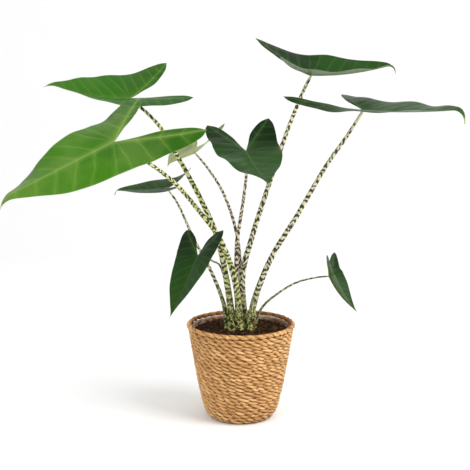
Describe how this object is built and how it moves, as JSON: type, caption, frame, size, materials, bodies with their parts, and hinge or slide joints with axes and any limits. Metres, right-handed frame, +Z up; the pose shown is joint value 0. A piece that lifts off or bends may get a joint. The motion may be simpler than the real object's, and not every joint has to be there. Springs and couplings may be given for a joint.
{
  "type": "potted alocasia in a basket",
  "caption": "Zebra-stemmed alocasia with arrow-shaped leaves, growing in soil in a lined, twined seagrass basket.",
  "frame": {"origin": "middle of the basket's flat underside, on the surface it stands on", "axes": "+Z up; +X to the right seen from the front, towards the long right-hand leaf; -Y towards the viewer"},
  "size_m": [0.7181, 0.5694, 0.698],
  "materials": {
    "seagrass": "twined dry seagrass, matt",
    "clear_plastic": "thin crumpled clear film",
    "soil": "coarse damp potting soil",
    "root": "rough bark-like root",
    "mottled_stem": "satin, dark zebra mottling",
    "bright_leaf": "waxy satin, paler veins",
    "dark_leaf": "waxy satin, paler veins",
    "pale_leaf": "thin, light shines through",
    "dried_leaf": "dry papery sheath"
  },
  "bodies": {
    "root": {"basket_wall": "seagrass", "basket_base": "seagrass", "basket_rim": "seagrass", "plastic_liner": "clear_plastic", "soil": "soil", "rootstock": "root", "stem_a": "mottled_stem", "stem_b": "mottled_stem", "stem_c": "mottled_stem", "stem_d": "mottled_stem", "stem_e": "mottled_stem", "stem_f": "mottled_stem", "stem_g": "mottled_stem", "stem_h": "mottled_stem", "stem_i": "mottled_stem", "leaf_a": "bright_leaf", "leaf_b": "bright_leaf", "leaf_c": "dark_leaf", "leaf_d": "dark_leaf", "leaf_e": "dark_leaf", "leaf_f": "pale_leaf", "leaf_g": "dark_leaf", "leaf_h": "dark_leaf", "leaf_i": "dark_leaf", "dried_sheath": "dried_leaf"}
  },
  "joints": []
}
